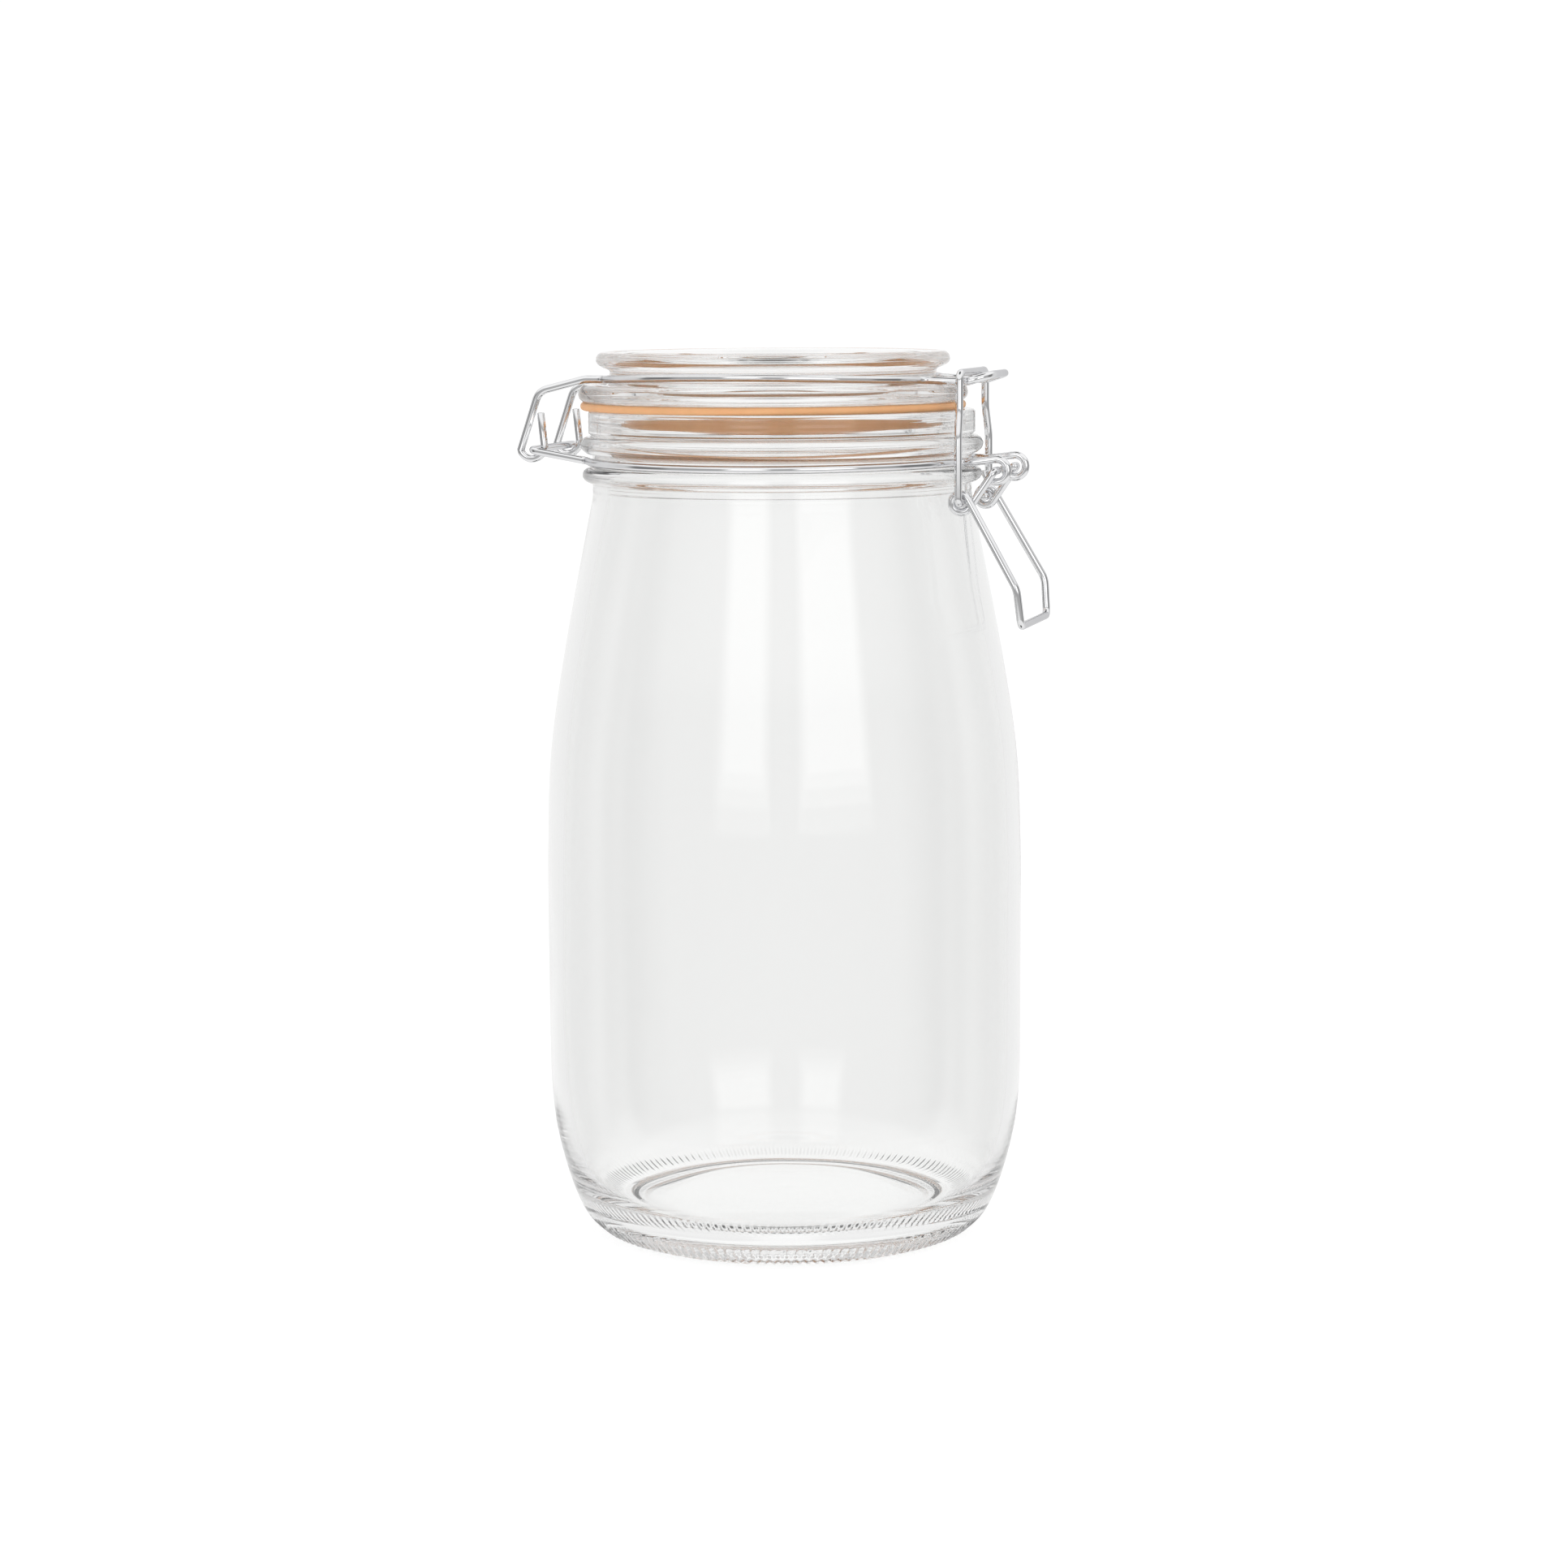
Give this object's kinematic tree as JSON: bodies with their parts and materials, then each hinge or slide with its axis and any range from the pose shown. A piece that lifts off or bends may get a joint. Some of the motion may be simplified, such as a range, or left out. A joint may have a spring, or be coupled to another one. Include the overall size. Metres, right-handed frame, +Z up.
{
  "type": "clip-top glass canister",
  "caption": "Tall round glass canister with a hinged glass lid, rubber seal and wire bail latch.",
  "frame": {"origin": "on the jar's axis, at the surface that the bearing ring stands on", "axes": "+Z up along the jar's axis, +X towards the latch, Y along the lid hinge and the latch pivots"},
  "size_m": [0.1284, 0.1184, 0.2192],
  "materials": {
    "glass": "clear fire-polished soda-lime glass",
    "seal": "smooth orange natural rubber",
    "wire": "bright drawn stainless wire"
  },
  "bodies": {
    "jar": {"glass_jar": "glass", "neck_wire": "wire"},
    "lid": {"glass_lid": "glass", "rubber_seal": "seal", "lid_wire": "wire"},
    "lever": {"latch_lever": "wire"},
    "bail": {"latch_bail": "wire"}
  },
  "joints": [
    {"name": "lid_hinge", "type": "hinge", "parent": "jar", "child": "lid", "pos_m": [-0.0596, 0, 0.1953], "axis": [0, -1, 0], "range_deg": [0, 220]},
    {"name": "lever_pivot", "type": "hinge", "parent": "jar", "child": "lever", "pos_m": [0.05625, 0, 0.1908], "axis": [0, -1, 0], "range_deg": [0, 125], "deforming": ["latch_bail"]},
    {"name": "bail_pivot", "type": "hinge", "parent": "lever", "child": "bail", "pos_m": [0.0483, 0, 0.1831], "axis": [0, -1, 0], "range_deg": [-125, 0]}
  ],
  "couplings": [
    {"joint": "bail_pivot", "follows": "lever_pivot", "ratio": -1}
  ]
}
